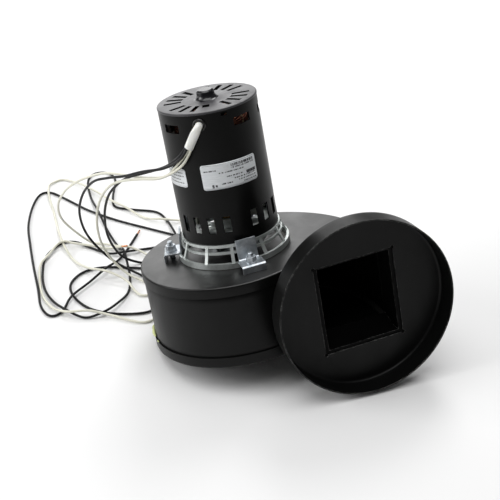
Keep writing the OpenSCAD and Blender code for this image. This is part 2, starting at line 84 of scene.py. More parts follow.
class N:
    """A short way to write node chains."""

    def __init__(self, tree):
        self.t = tree

    def node(self, kind, **kw):
        n = self.t.nodes.new(kind)
        for k, v in kw.items():
            setattr(n, k, v)
        return n

    def link(self, a, b):
        self.t.links.new(a, b)

    def put(self, sock, v):
        if hasattr(v, "is_output") or isinstance(v, bpy.types.NodeSocket):
            self.link(v, sock)
        else:
            sock.default_value = v

    def coord(self):
        return self.node("ShaderNodeTexCoord").outputs["Object"]

    def noise(self, vec, scale, detail=3.0, rough=0.5, dist=0.0):
        n = self.node("ShaderNodeTexNoise")
        self.link(vec, n.inputs["Vector"])
        n.inputs["Scale"].default_value = scale
        n.inputs["Detail"].default_value = detail
        n.inputs["Roughness"].default_value = rough
        n.inputs["Distortion"].default_value = dist
        return n.outputs["Fac"]

    def voronoi(self, vec, scale, feature="F1", rand=1.0):
        n = self.node("ShaderNodeTexVoronoi", feature=feature)
        self.link(vec, n.inputs["Vector"])
        n.inputs["Scale"].default_value = scale
        n.inputs["Randomness"].default_value = rand
        return n.outputs["Distance"]

    def scaled(self, vec, s):
        n = self.node("ShaderNodeMapping")
        self.link(vec, n.inputs["Vector"])
        n.inputs["Scale"].default_value = s
        return n.outputs[0]

    def remap(self, v, a, b, c=0.0, d=1.0, clamp=True):
        n = self.node("ShaderNodeMapRange", clamp=clamp)
        self.put(n.inputs[0], v)
        n.inputs[1].default_value = a
        n.inputs[2].default_value = b
        n.inputs[3].default_value = c
        n.inputs[4].default_value = d
        return n.outputs[0]

    def math(self, op, a, b=0.0, c=None):
        n = self.node("ShaderNodeMath", operation=op)
        self.put(n.inputs[0], a)
        self.put(n.inputs[1], b)
        if c is not None:
            self.put(n.inputs[2], c)
        return n.outputs[0]

    def mix(self, f, a, b):
        n = self.node("ShaderNodeMix", data_type="RGBA")
        self.put(n.inputs[0], f)
        for i, v in ((6, a), (7, b)):
            if isinstance(v, (tuple, list)):
                n.inputs[i].default_value = (*v, 1) if len(v) == 3 else v
            else:
                self.link(v, n.inputs[i])
        return n.outputs[2]

    def bump(self, h, strength, dist, normal=None):
        n = self.node("ShaderNodeBump")
        self.link(h, n.inputs["Height"])
        n.inputs["Strength"].default_value = strength
        n.inputs["Distance"].default_value = dist
        if normal is not None:
            self.link(normal, n.inputs["Normal"])
        return n.outputs[0]

    def edge(self, radius, lo=0.02, hi=0.25):
        """1 near outside and inside edges, from rounded against true normals."""
        bv = self.node("ShaderNodeBevel", samples=4)
        bv.inputs["Radius"].default_value = radius
        g = self.node("ShaderNodeNewGeometry")
        d = self.node("ShaderNodeVectorMath", operation="DOT_PRODUCT")
        self.link(bv.outputs[0], d.inputs[0])
        self.link(g.outputs["Normal"], d.inputs[1])
        return self.remap(self.math("SUBTRACT", 1.0, d.outputs["Value"]), lo, hi)


def painted(name, base, rough, spread=0.35, peel=0.06, specks=0.0, edge_wear_highlight=(0.2, 0.2, 0.2), edge_wear_highlight_amt=0.5, spec=0.5, edge_r=0.0006):
    """Satin black paint on sheet steel: orange peel, faint clouds, dust, and edges lightened partly as rubbed wear,
    partly as painted edge highlights.
    """
    mt, t, b = nt(name)
    n = N(t)
    co = n.coord()
    big = n.noise(co, 14, 3, 0.55)
    mid = n.noise(co, 90, 4, 0.6)
    col = n.mix(n.remap(big, 0.3, 0.7), tuple(c * (1 - spread) for c in base), tuple(c * (1 + spread) for c in base))
    col = n.mix(n.math("MULTIPLY", n.remap(mid, 0.45, 0.75), 0.35), col, tuple(c * 1.7 for c in base))
    if specks:
        v = n.voronoi(co, 420)
        pick = n.noise(co, 33, 2, 0.5)
        sp = n.math("MULTIPLY", n.remap(v, 0.075, 0.045), n.remap(pick, 0.52, 0.6))
        col = n.mix(n.math("MULTIPLY", sp, specks), col, (0.1, 0.1, 0.098))
    # lighter edge colour: partly rubbed wear, partly painted edge highlight
    if edge_wear_highlight_amt:
        e = n.edge(edge_r)
        broken = n.remap(n.noise(co, 260, 3, 0.7), 0.4, 0.62)
        col = n.mix(n.math("MULTIPLY", n.math("MULTIPLY", e, broken), edge_wear_highlight_amt), col, edge_wear_highlight)
    n.link(col, b.inputs["Base Color"])
    smudge = n.noise(n.scaled(co, (1, 1, 0.35)), 40, 4, 0.65, 0.6)
    n.link(n.remap(smudge, 0.3, 0.75, rough * 0.86, rough * 1.2), b.inputs["Roughness"])
    b.inputs["Specular IOR Level"].default_value = spec
    h = n.noise(co, 1500, 2, 0.5)
    n.link(n.bump(h, peel, 0.0004, n.bump(n.noise(co, 60, 2, 0.5), 0.02, 0.001)), b.inputs["Normal"])
    return mt


def metal(name, base, rough, vary=0.12, tint=None, grain=900, bump=0.08, blot=60, metallic=1.0, dark=(0.05, 0.05, 0.055), grime=0.3, stretch=(1, 1, 1), bright=None):
    """Bare or plated metal: blotches, grain, grime in noise patches and rubbed edges."""
    mt, t, b = nt(name)
    n = N(t)
    co = n.coord()
    cs = n.scaled(co, stretch)
    bl = n.noise(co, blot, 4, 0.6, 0.4)
    col = n.mix(n.remap(bl, 0.35, 0.65), tuple(c * (1 - vary) for c in base), tint or tuple(min(1, c * (1 + vary)) for c in base))
    g = n.noise(cs, grain, 3, 0.6)
    col = n.mix(n.math("MULTIPLY", n.remap(g, 0.5, 0.8), 0.35), col, tuple(c * 0.6 for c in base))
    if grime:
        col = n.mix(n.math("MULTIPLY", n.remap(n.noise(co, 25, 5, 0.65), 0.5, 0.75), grime), col, dark)
    e = n.edge(0.0004)
    col = n.mix(n.math("MULTIPLY", e, 0.5), col, bright or tuple(min(1, c * 1.3) for c in base))
    n.link(col, b.inputs["Base Color"])
    b.inputs["Metallic"].default_value = metallic
    n.link(n.remap(n.noise(co, blot * 1.7, 4, 0.6), 0.3, 0.7, rough * 0.75, rough * 1.3), b.inputs["Roughness"])
    n.link(n.bump(g, bump, 0.0003, n.bump(bl, 0.08, 0.0008)), b.inputs["Normal"])
    return mt


def plastic(name, base, rough, vary=0.08, bump=0.03, scale=300, coat=0.0, sss=0.0, dirt=None, dirt_amt=0.2):
    mt, t, b = nt(name)
    n = N(t)
    co = n.coord()
    col = n.mix(n.remap(n.noise(co, 45, 3, 0.5), 0.3, 0.7), tuple(c * (1 - vary) for c in base), tuple(min(1, c * (1 + vary)) for c in base))
    if dirt:
        col = n.mix(n.math("MULTIPLY", n.remap(n.noise(co, 70, 5, 0.7), 0.52, 0.75), dirt_amt), col, dirt)
    n.link(col, b.inputs["Base Color"])
    n.link(n.remap(n.noise(co, 120, 3, 0.6), 0.3, 0.7, rough * 0.85, rough * 1.2), b.inputs["Roughness"])
    b.inputs["Coat Weight"].default_value = coat
    if sss:
        b.inputs["Subsurface Weight"].default_value = sss
        b.inputs["Subsurface Radius"].default_value = (0.002, 0.0018, 0.0012)
    n.link(n.bump(n.noise(co, scale, 3, 0.5), bump, 0.0004), b.inputs["Normal"])
    return mt


HOUS = painted("housing_black", (0.0034, 0.0035, 0.0034), 0.38, 0.25, 0.07, 0.3, (0.04, 0.04, 0.039), 0.3, 0.16)
# near-black paint for the cap's slot walls and underside: painted shade in the slots
CAP_SHADE = painted("cap_inside_shade_black", (0.0012, 0.0012, 0.0012), 0.7, 0.2, 0.05, 0.0, (0.02, 0.02, 0.02), 0.0, 0.03)
CUP = painted("cap_cup_black", (0.006, 0.006, 0.008), 0.24, 0.2, 0.05, 0.2, (0.12, 0.12, 0.13), 0.5, 0.6)
# lighter, glossier copy of the housing paint for up-facing faces: painted sheen on the top plate
HOUS_TOP_SHEEN = painted("housing_top_sheen_black", (0.0055, 0.0056, 0.0055), 0.37, 0.25, 0.03, 0.4, (0.05, 0.05, 0.049), 0.35, 0.58)
# collar and duct: a pale edge colour at a high amount paints thin bright highlight lines along the rim and hole edges,
# over some real rubbed wear
COLLAR = painted("collar_black", (0.0034, 0.0035, 0.0034), 0.40, 0.25, 0.08, 0.6, (0.32, 0.32, 0.31), 0.9, 0.17, 0.0009)
DUCT = painted("duct_black", (0.002, 0.002, 0.002), 0.6, 0.25, 0.08, 0.1, (0.3, 0.3, 0.29), 0.9, 0.08, 0.0008)
MOTOR = painted("motor_black", (0.0021, 0.0022, 0.0021), 0.36, 0.25, 0.05, 0.35, (0.035, 0.035, 0.034), 0.3, 0.15)
CAP = painted("cap_grey", (0.036, 0.0352, 0.039), 0.37, 0.3, 0.16, 0.25, (0.17, 0.17, 0.18), 0.55, 0.42)
DIE = metal("die_cast", (0.62, 0.66, 0.64), 0.42, 0.10, (0.74, 0.78, 0.77), 700, 0.16, 55, 0.85, (0.16, 0.18, 0.17), 0.35)
ZINC = metal("zinc_plate", (0.48, 0.53, 0.57), 0.37, 0.2, (0.64, 0.67, 0.70), 500, 0.10, 150, 0.9, (0.15, 0.16, 0.2), 0.35, bright=(0.8, 0.8, 0.82))
GALV = metal("galvanised", (0.5, 0.52, 0.53), 0.4, 0.14, None, 600, 0.05, 80)
STEEL = metal("steel", (0.56, 0.57, 0.58), 0.22, 0.06, None, 1200, 0.05, 40, stretch=(1, 1, 14))
STEELD = metal("steel_dark", (0.08, 0.08, 0.085), 0.4, 0.1, None, 900, 0.05, 80)
LAM = metal("lamination", (0.23, 0.215, 0.2), 0.5, 0.15, None, 800, 0.1, 90, 0.7, stretch=(1, 1, 12))
BRONZE = metal("bronze", (0.45, 0.32, 0.15), 0.38, 0.12, None, 900, 0.06, 90)
COPPER = metal("copper", (0.42, 0.15, 0.095), 0.32, 0.22, (0.60, 0.25, 0.17), 500, 0.06, 220, 0.75, (0.08, 0.03, 0.02), 0.3)
BARE = metal("copper_bare", (0.75, 0.33, 0.15), 0.3, 0.12, (0.86, 0.45, 0.24), 500, 0.04, 220, 0.9, (0.2, 0.08, 0.04), 0.15)
SEAL = plastic("sealant", (0.012, 0.012, 0.011), 0.7, 0.2, 0.2, 240)
BEAD = plastic("sealant_bead", (0.55, 0.60, 0.27), 0.6, 0.2, 0.2, 240)
SEALR = plastic("seal_red", (0.25, 0.05, 0.03), 0.6, 0.2, 0.1, 300)
FIBRE = plastic("fibre", (0.13, 0.13, 0.12), 0.85, 0.2, 0.3, 500)
GROM = plastic("grommet_black", (0.008, 0.008, 0.008), 0.28, 0.2, 0.05, 400, dirt=(0.3, 0.3, 0.28), dirt_amt=0.25)
# fan plastic: its own grey-green, darkened further as painted shade for the dark inside of the motor seen through the
# lower vents
FANP = plastic("fan_plastic", (0.36, 0.37, 0.32), 0.45, 0.08, 0.03, 300)
SLEEVE = plastic("sleeve_white", (0.83, 0.83, 0.79), 0.22, 0.05, 0.08, 120, 0.3, 0.15, (0.5, 0.48, 0.42), 0.25)
LEADB = plastic("lead_black", (0.005, 0.005, 0.006), 0.42, 0.2, 0.03, 500, 0.0, 0, (0.08, 0.08, 0.085), 0.12)
for n_ in LEADB.node_tree.nodes:
    if n_.type == "BSDF_PRINCIPLED":
        n_.inputs["Specular IOR Level"].default_value = 0.22
LEADW = plastic("lead_white", (0.74, 0.73, 0.62), 0.36, 0.06, 0.03, 500, 0.1, 0.05, (0.45, 0.42, 0.33), 0.25)
NODE_MAT = {
    "top_plate": HOUS, "scroll_wall": HOUS, "base_cover": HOUS, "seam_gasket": SEAL, "inlet_ring": GALV,
    "outlet_duct": DUCT, "outlet_collar": COLLAR, "cutoff_plate": HOUS, "shaft_seal": SEALR, "cage_gasket": FIBRE,
    "motor_cage": DIE, "front_clip": ZINC, "left_clip": ZINC, "rear_clip": ZINC, "clip_studs": ZINC,
    "clip_washers": ZINC, "clip_nuts": ZINC, "motor_shell": MOTOR, "motor_top_cap": CAP, "motor_bottom_bell": DIE,
    "stator_core": LAM, "stator_windings": COPPER, "upper_bearing": BRONZE, "lower_bearing": BRONZE,
    "through_bolts": ZINC, "lead_grommet": GROM, "lead_sleeve": SLEEVE, "shaft": STEEL, "rotor_core": LAM,
    "thrust_washers": BRONZE, "motor_fan": FANP, "heat_slinger": GALV, "wheel_hub": STEEL,
    "wheel_back_plate": GALV, "wheel_blades": GALV, "wheel_rim": GALV, "set_screw": STEELD,
    "rating_label": FANP, "wiring_label": FANP, "black_lead_a": LEADB, "black_lead_b": LEADB,
    "white_lead_a": LEADW, "white_lead_b": LEADW, "bare_tips": BARE,
}
for k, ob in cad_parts.items():
    ob.data.materials.clear()
    ob.data.materials.append(NODE_MAT[k])

# ---------------------------------------------------------------- leads
def spline(P, m):
    out = []
    n = len(P) - 1
    for i in range(n):
        a, b, c, d = P[max(i - 1, 0)], P[i], P[i + 1], P[min(i + 2, n)]
        for j in range(m):
            t = j / m
            q = a * (-t / 2 + t * t - t ** 3 / 2) + b * (1 - 2.5 * t * t + 1.5 * t ** 3) + c * (t / 2 + 2 * t * t - 1.5 * t ** 3) + d * (t ** 3 / 2 - t * t / 2)
            q.z = max(q.z, LEAD / 2)
            out.append(q)
    out.append(P[-1].copy())
    return out


LEAD = 0.0024
G = math.radians(-26.7)
LEG = math.radians(-33.5)


def by_grommet(p):
    """Grommet frame (x out of the motor) to the fan's frame."""
    x, y, z = p
    return Vector((x * math.cos(G) - y * math.sin(G), x * math.sin(G) + y * math.cos(G), z))


EXIT = row(by_grommet((47.2, 20 * math.sin(LEG), 126 - 20 * math.cos(LEG))))
EXIT_DIR = rowdir(by_grommet((0, math.sin(LEG), -math.cos(LEG))))
EU = EXIT_DIR.cross(Vector((0, 0, 1))).normalized()
EV = EU.cross(EXIT_DIR)
ROUTES = {
    "black_lead_a": ((-1, 1), [
        (-22, -80, 189), (-41, -89, 173), (-60, -104, 163), (-80, -116, 151), (-102, -126, 140),
        (-125, -136, 126), (-150, -143, 100), (-167, -145, 70), (-173, -138, 40), (-164, -119, 14),
        (-145, -95, 1.5), (-123, -84, 1.5), (-98, -88, 1.5), (-84, -105, 1.5), (-92, -134, 1.5),
        (-109, -155, 1.5), (-133, -165, 1.5), (-156, -164, 1.5), (-172, -149, 1.5), (-174, -128, 1.5),
        (-162, -100, 1.5), (-148, -68, 1.5), (-149, -43, 1.5), (-162, -31, 1.5), (-180, -30, 1.5),
        (-200, -40, 1.5), (-225, -63, 1.5), (-256, -92, 1.5), (-288, -116, 1.5), (-323, -135, 1.5),
        (-342, -147, 1.5), (-342, -159, 1.5), (-318, -172, 1.5), (-281, -183, 1.5), (-242, -188, 1.5),
        (-202, -192, 1.5), (-162, -195, 1.5), (-130, -198, 1.5), (-112, -193, 1.5), (-114, -181, 1.5),
        (-132, -168, 4), (-150, -146, 4), (-165, -126, 6), (-185, -106, 1.5), (-222, -80, 1.5),
    ]),
    "black_lead_b": ((1, 1), [
        (-26, -80, 189), (-45, -87, 172), (-61, -100, 161), (-82, -111, 148), (-102, -118, 132),
        (-122, -124, 110), (-140, -126, 80), (-155, -122, 46), (-167, -109, 15), (-168, -90, 1.5),
        (-161, -72, 1.5), (-158, -59, 1.5), (-164, -48, 1.5), (-178, -47, 1.5), (-188, -58, 1.5),
        (-191, -78, 1.5), (-189, -100, 4.5), (-195, -116, 2.5), (-213, -130, 1.5), (-231, -143, 1.5),
        (-233, -158, 1.5), (-216, -176, 1.5), (-190, -185, 1.5), (-160, -189, 1.5), (-134, -186, 2.5),
        (-112, -178, 5), (-97, -163, 1.5), (-96, -145, 4), (-104, -130, 4.5), (-122, -115, 1.5),
        (-146, -107, 1.5), (-168, -104, 5), (-186, -103, 9.5), (-200, -104, 2.5), (-238, -107, 1.5),
        (-278, -108, 4.5), (-316, -108, 1.5), (-352, -103, 1.5), (-366, -92, 1.5), (-362, -78, 1.5),
        (-343, -74, 1.5), (-308, -85, 1.5), (-286, -88, 1.5), (-273, -73, 1.5), (-258, -50, 1.5),
        (-238, -44, 1.5), (-212, -44, 4.5), (-190, -44, 3.5),
    ]),
    "white_lead_a": ((-1, -1), [
        (-24, -79, 181), (-40, -93, 165), (-61, -107, 156), (-83, -118, 145), (-103, -125, 131),
        (-122, -130, 111), (-136, -133, 89), (-147, -133, 64), (-155, -129, 40), (-157, -121, 20),
        (-148, -109, 6), (-133, -95, 1.5), (-120, -91, 1.5), (-112, -94, 1.5), (-112, -103, 1.5),
        (-120, -108, 2), (-138, -113, 5.5), (-155, -128, 9), (-174, -143, 5), (-198, -152, 1.5),
        (-224, -156, 4), (-250, -156, 4), (-276, -154, 1.5), (-303, -152, 1.5), (-330, -151, 4),
        (-353, -147, 4), (-364, -140, 1.5), (-367, -131, 1.5), (-362, -123, 1.5), (-342, -111, 4),
        (-318, -99, 4), (-295, -89, 4), (-275, -78, 4), (-252, -65, 1.5), (-235, -49, 5.5), (-228, -28, 2.5),
    ]),
    "white_lead_b": ((1, -1), [
        (-29, -81, 180), (-43, -88, 164), (-60, -99, 156), (-83, -106, 147), (-107, -115, 139),
        (-130, -125, 130), (-152, -135, 117), (-171, -145, 103), (-188, -154, 86), (-204, -159, 64),
        (-216, -156, 41), (-222, -143, 19), (-223, -128, 2.5), (-217, -118, 2), (-202, -106, 5),
        (-192, -94, 6.5), (-176, -80, 3), (-152, -72, 4.5), (-127, -68, 1.5), (-101, -74, 1.5),
        (-79, -89, 1.5), (-70, -105, 1.5), (-72, -118, 1.5), (-88, -138, 3), (-98, -158, 7.5),
        (-106, -177, 6), (-121, -188, 3), (-146, -193, 1.5), (-173, -191, 1.5), (-199, -185, 4),
        (-215, -173, 4), (-226, -163, 6), (-228, -155, 7), (-224, -146, 5), (-214, -131, 4.5),
        (-206, -116, 2), (-192, -103, 9.5),
    ]),
}
LEADS = {}
for name, (side, pts) in ROUTES.items():
    P = [EXIT + (EU * side[0] + EV * side[1]) * 0.00175] + [Vector(p) * MM for p in pts]
    Q = spline(P, 8)
    cu = bpy.data.curves.new(name + "_wire", "CURVE")
    cu.dimensions = "3D"
    cu.bevel_depth = LEAD / 2
    cu.bevel_resolution = 3
    cu.use_fill_caps = True
    cu.twist_mode = "Z_UP"
    sp = cu.splines.new("POLY")
    sp.points.add(len(Q) - 1)
    for i, q in enumerate(Q):
        sp.points[i].co = (*q, 1)
    ob = bpy.data.objects.new(name + "_wire", cu)
    scene.collection.objects.link(ob)
    cu.materials.append(LEADB if "black" in name else LEADW)
    for s_ in cu.splines:
        s_.use_smooth = True
    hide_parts(name)
    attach(ob, "housing")
    LEADS[name] = (ob, Q)

# ---------------------------------------------------------------- mesh tools
def add_mesh(name, verts, faces, mat, node=None, body="housing", smooth=38, solid=None, bevel=None, rowframe=False, seg=2):
    me = bpy.data.meshes.new(name)
    me.from_pydata([v if rowframe else row(v) for v in verts], [], faces)
    me.validate()
    me.polygons.foreach_set("use_smooth", [True] * len(me.polygons))
    bm = bmesh.new()
    bm.from_mesh(me)
    bmesh.ops.remove_doubles(bm, verts=bm.verts, dist=1e-6)
    bmesh.ops.recalc_face_normals(bm, faces=bm.faces)
    bm.to_mesh(me)
    bm.free()
    me.set_sharp_from_angle(angle=math.radians(smooth))
    me.materials.append(mat)
    ob = bpy.data.objects.new(name, me)
    scene.collection.objects.link(ob)
    finish_piece(ob, node, body, solid, bevel, seg)
    return ob


def finish_piece(ob, node, body, solid, bevel, seg=2):
    if solid:
        md = ob.modifiers.new("sheet", "SOLIDIFY")
        md.thickness = abs(solid) * MM
        md.offset = -1 if solid > 0 else 1
        md.use_even_offset = True
        md.use_quality_normals = True
    if bevel:
        md = ob.modifiers.new("edges", "BEVEL")
        md.width = bevel * MM
        md.segments = seg
        md.limit_method = "ANGLE"
        md.angle_limit = math.radians(38)
        md.harden_normals = True
        md.use_clamp_overlap = True
    if node:
        for k in ([node] if isinstance(node, str) else node):
            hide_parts(k)
    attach(ob, body)


def refined(node, mat, bevel=0.3, body="housing", dissolve=0.6, smooth=38, seg=2, name=None):
    """A cleaned copy of a CAD piece with rounded edges."""
    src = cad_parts[node]
    bm = bmesh.new()
    bm.from_mesh(src.data)
    bmesh.ops.remove_doubles(bm, verts=bm.verts, dist=2e-6)
    bmesh.ops.dissolve_limit(bm, angle_limit=math.radians(dissolve), verts=bm.verts, edges=bm.edges)
    me = bpy.data.meshes.new((name or node) + "_detail")
    bm.to_mesh(me)
    bm.free()
    me.polygons.foreach_set("use_smooth", [True] * len(me.polygons))
    me.set_sharp_from_angle(angle=math.radians(smooth))
    me.materials.append(mat)
    ob = bpy.data.objects.new((name or node) + "_detail", me)
    scene.collection.objects.link(ob)
    finish_piece(ob, node, body, None, bevel, seg)
    return ob


def arc(c, r, a0, a1, n):
    return [(c[0] + r * math.cos(math.radians(a0 + (a1 - a0) * i / n)), c[1] + r * math.sin(math.radians(a0 + (a1 - a0) * i / n))) for i in range(n + 1)]


def outline(d, xe, fillet=0.0):
    """The scroll seen from above, from the far end of the outlet round to the near end, d outside the plate's edge."""
    r1, r2 = 77 + d, 116.5 + d
    top = 108.5 + d
    low = 40.5 - d
    P = [(xe + (43.5 - xe) * i / 10, top) for i in range(10)]
    P += arc((43.5, -8), r2, 90, 180, 44)[:-1]
    end = math.degrees(math.asin((low + 8) / r1))
    P += arc((4, -8), r1, 180, 360 + end, 90)
    x = 4 + r1 * math.cos(math.radians(end))
    P += [(x + (xe - x) * i / 5, low) for i in range(1, 6)]
    return P


def strip(rings, closed=False):
    """Quads between neighbouring rings of equal length."""
    V, F = [], []
    n = len(rings[0])
    for r in rings:
        V += r
    for k in range(len(rings) - 1):
        for i in range(n if closed else n - 1):
            j = (i + 1) % n
            F.append((k * n + i, k * n + j, (k + 1) * n + j, (k + 1) * n + i))
    return V, F


def fill(loops):
    """A flat face set between an outer loop and holes, all lists of 3-D points."""
    bm = bmesh.new()
    edges = []
    for L in loops:
        vs = [bm.verts.new(p) for p in L]
        for i in range(len(vs)):
            edges.append(bm.edges.new((vs[i], vs[(i + 1) % len(vs)])))
    bmesh.ops.triangle_fill(bm, use_beauty=True, use_dissolve=False, edges=edges)
    bm.verts.index_update()
    V = [tuple(v.co) for v in bm.verts]
    F = [tuple(v.index for v in f.verts) for f in bm.faces]
    bm.free()
    return V, F


def joined(*parts):
    V, F = [], []
    for v, f in parts:
        o = len(V)
        V += list(v)
        F += [tuple(i + o for i in q) for q in f]
    return V, F


def revolved(profile, n=96, a0=0.0, a1=360.0, frame_fn=None):
    full = abs(a1 - a0 - 360) < 1e-6
    rings = []
    m_ = n if full else n + 1
    for i in range(m_):
        a = math.radians(a0 + (a1 - a0) * i / n)
        r_ = [(r * math.cos(a), r * math.sin(a), z) for r, z in profile]
        rings.append([frame_fn(p) for p in r_] if frame_fn else r_)
    if full:
        rings.append(rings[0])
    return strip(rings)


def fillet(cx, cz, r, a0, a1, n=5):
    return [(cx + r * math.cos(math.radians(a0 + (a1 - a0) * i / n)), cz + r * math.sin(math.radians(a0 + (a1 - a0) * i / n))) for i in range(n + 1)]


# ---------------------------------------------------------------- housing
# top plate: flange, rounded fold and face, one sheet
TF = 9.0
prof = [(0.0, -TF), (0.0, -TF + 2.5), (0.0, -1.7)] + [(-1.7 + a, -1.7 + b) for a, b in ((1.64, 0.45), (1.47, 0.85), (1.2, 1.2), (0.85, 1.47), (0.45, 1.64), (0.0, 1.7))]
rings = [[(x, y, z) for x, y in outline(d, 86)] for d, z in prof]
V1, F1 = strip(rings)
V2, F2 = fill([rings[-1], [(7 * math.cos(a * math.pi / 24), 7 * math.sin(a * math.pi / 24), 0) for a in range(48)]])
V, F = joined((V1, F1), (V2, F2))
top = add_mesh("top_plate_sheet", V, F, HOUS, "top_plate", solid=0.98, bevel=0.12)
# up-facing faces of the top plate take the lighter copy: painted sheen
top.data.materials.append(HOUS_TOP_SHEEN)
UP = rowdir((0, 0, 1))
for f_ in top.data.polygons:
    if f_.normal.dot(UP) > 0.75:
        f_.material_index = 1

# scroll wall
rings = [[(x, y, z) for x, y in outline(-1.02, 64)] for z in (-71.8, -60, -45, -30, -15, -1.3)]
V, F = strip(rings)
add_mesh("scroll_wall_sheet", V, F, HOUS, "scroll_wall", solid=0.95)

# base cover with its rolled lower edge, inlet and bolt holes
prof = [(0.2, -64.5), (0.2, -68), (0.2, -72.2)] + [(-1.6 + 1.8 * math.cos(math.radians(a)), -72.2 - 1.8 * math.sin(math.radians(a))) for a in (18, 36, 54, 72, 90)]
rings = [[(x, y, z) for x, y in outline(d, 64)] for d, z in prof]
V1, F1 = strip(rings)
holes = [[(41 * math.cos(a * math.pi / 48), 41 * math.sin(a * math.pi / 48), -74) for a in range(96)]]
for k in range(4):
    cx, cy = 60 * math.cos(math.radians(45 + 90 * k)), 60 * math.sin(math.radians(45 + 90 * k))
    holes.append([(cx + 2.75 * math.cos(a * math.pi / 12), cy + 2.75 * math.sin(a * math.pi / 12), -74) for a in range(24)])
V2, F2 = fill([rings[-1]] + holes)
V, F = joined((V1, F1), (V2, F2))
add_mesh("base_cover_sheet", V, F, HOUS, "base_cover", solid=1.1, bevel=0.12)

# round collar: face plate with the square hole, rounded back edge, wall and rim
CY, CZ, X0, X1, RC = 74.5, -38.5, 90.3, 112.5, 77.0


def collar_pt(r, a, x):
    return (x, CY + r * math.cos(a), CZ + r * math.sin(a))


NC = 144
prof = [(X0, RC - 3.5)] + [(X0 + 3.5 - 3.5 * math.sin(math.radians(90 - t)), RC - 3.5 + 3.5 * math.cos(math.radians(90 - t))) for t in (15, 30, 45, 60, 75, 90)] + [(X0 + 8, RC), (X0 + 15, RC), (X1 - 0.35, RC), (X1 - 0.02, RC)]
rings = [[collar_pt(r, 2 * math.pi * i / NC, x) for i in range(NC)] for x, r in prof]
V1, F1 = strip(rings, True)
hw, y0, y1, z0, z1 = 35.5, CY - 35.5, CY + 35.5, -80.0, 0.0
rl = 1.6


def corner(cy, cz, a0):
    return [(X0, cy + rl * math.cos(math.radians(a0 + 270 * i / 8)), cz + rl * math.sin(math.radians(a0 + 270 * i / 8))) for i in range(9)]


hole = corner(y0, z0, 90) + corner(y1, z0, 180) + corner(y1, z1 - 0.6, 270) + corner(y0, z1 - 0.6, 0)
V2, F2 = fill([rings[0], hole])
V, F = joined((V1, F1), (V2, F2))
add_mesh("outlet_collar_sheet", V, F, COLLAR, "outlet_collar", solid=1.18, bevel=0.22)

# ---------------------------------------------------------------- motor shell
def polar_sheet(angles, levels, keep, r):
    V, F, idx = [], [], {}
    n, m_ = len(angles), len(levels)
    for i, a in enumerate(angles):
        for j, z in enumerate(levels):
            V.append((r * math.cos(math.radians(a)), r * math.sin(math.radians(a)), z))
    for i in range(n):
        for j in range(m_ - 1):
            k = (i + 1) % n
            am = (angles[i] + (angles[k] if k else angles[k] + 360)) / 2
            if keep(am, (levels[j] + levels[j + 1]) / 2):
                F.append((i * m_ + j, k * m_ + j, k * m_ + j + 1, i * m_ + j + 1))
    used = sorted({v for f in F for v in f})
    mp = {v: q for q, v in enumerate(used)}
    return [V[v] for v in used], [tuple(mp[v] for v in f) for f in F]


vents = [(45.5 + 90 * g + 18.7 * (i - 1.5)) % 360 for g in range(4) for i in range(4)]
hv = math.degrees(math.asin(3.2 / 42))
wins = [24, 70, 115, 160, 205, 295]
marks = set()
for a in vents:
    marks |= {round((a - hv) % 360, 3), round((a + hv) % 360, 3)}
for a in wins:
    marks |= {round((a - 11.75) % 360, 3), round((a + 11.75) % 360, 3)}
marks |= {round((2.5 - 3.5) % 360, 3), round(2.5 + 3.5, 3), round(333.3 - 5.1, 3), round(333.3 + 5.1, 3)}
marks = sorted(marks)
angles = []
for i, a in enumerate(marks):
    b = marks[(i + 1) % len(marks)] + (360 if i + 1 == len(marks) else 0)
    k = max(1, int(math.ceil((b - a) / 2.5)))
    angles += [a + (b - a) * q / k for q in range(k)]
inside = lambda a, c, h: abs((a - c + 180) % 360 - 180) < h


def keep_shell(a, z):
    a %= 360
    if 30.5 < z < 45 and any(inside(a, c, hv) for c in vents):
        return False
    if 119 < z < 126 and any(inside(a, c, 11.75) for c in wins):
        return False
    if 130 < z < 132.9 and inside(a, 2.5, 3.5):
        return False
    if 122.3 < z < 129.7 and inside(a, 333.3, 5.1):
        return False
    return True


levels = [20, 24, 30.5, 33.5, 42, 45, 55, 70, 90, 105, 119, 122.3, 124.5, 126, 128, 129.7, 130, 132.9, 134.15]
V, F = polar_sheet(angles, levels, keep_shell, 42.0)
add_mesh("motor_shell_sheet", V, F, MOTOR, "motor_shell", solid=1.15, bevel=0.25)

# ---------------------------------------------------------------- refined copies of the smaller castings and fixings
cap = refined("motor_top_cap", CAP, 0.3, smooth=24)
cap.data.materials.append(CAP_SHADE)
cap.data.materials.append(CUP)
AX = rowdir((0, 0, 1))
O3 = row((0, 0, 0))
for f_ in cap.data.polygons:
    d_ = f_.center - O3
    h_ = d_.dot(AX) * 1000
    r_ = (d_ - AX * d_.dot(AX)).length * 1000
    up_ = f_.normal.dot(AX)
    if r_ < 10.3 and h_ > 136.05:
        f_.material_index = 2
    # slot walls, underside and lower skirt take the near-black copy: painted shade
    elif (abs(up_) < 0.5 and r_ < 38.5) or up_ < -0.5 or h_ < 133.9:
        f_.material_index = 1
refined("motor_cage", DIE, 0.45)
for k in ("front_clip", "left_clip", "rear_clip"):
    refined(k, ZINC, 0.35)
refined("clip_nuts", ZINC, 0.3)
refined("clip_washers", ZINC, 0.15)
refined("clip_studs", ZINC, 0.15)
refined("outlet_duct", DUCT, 0.25)

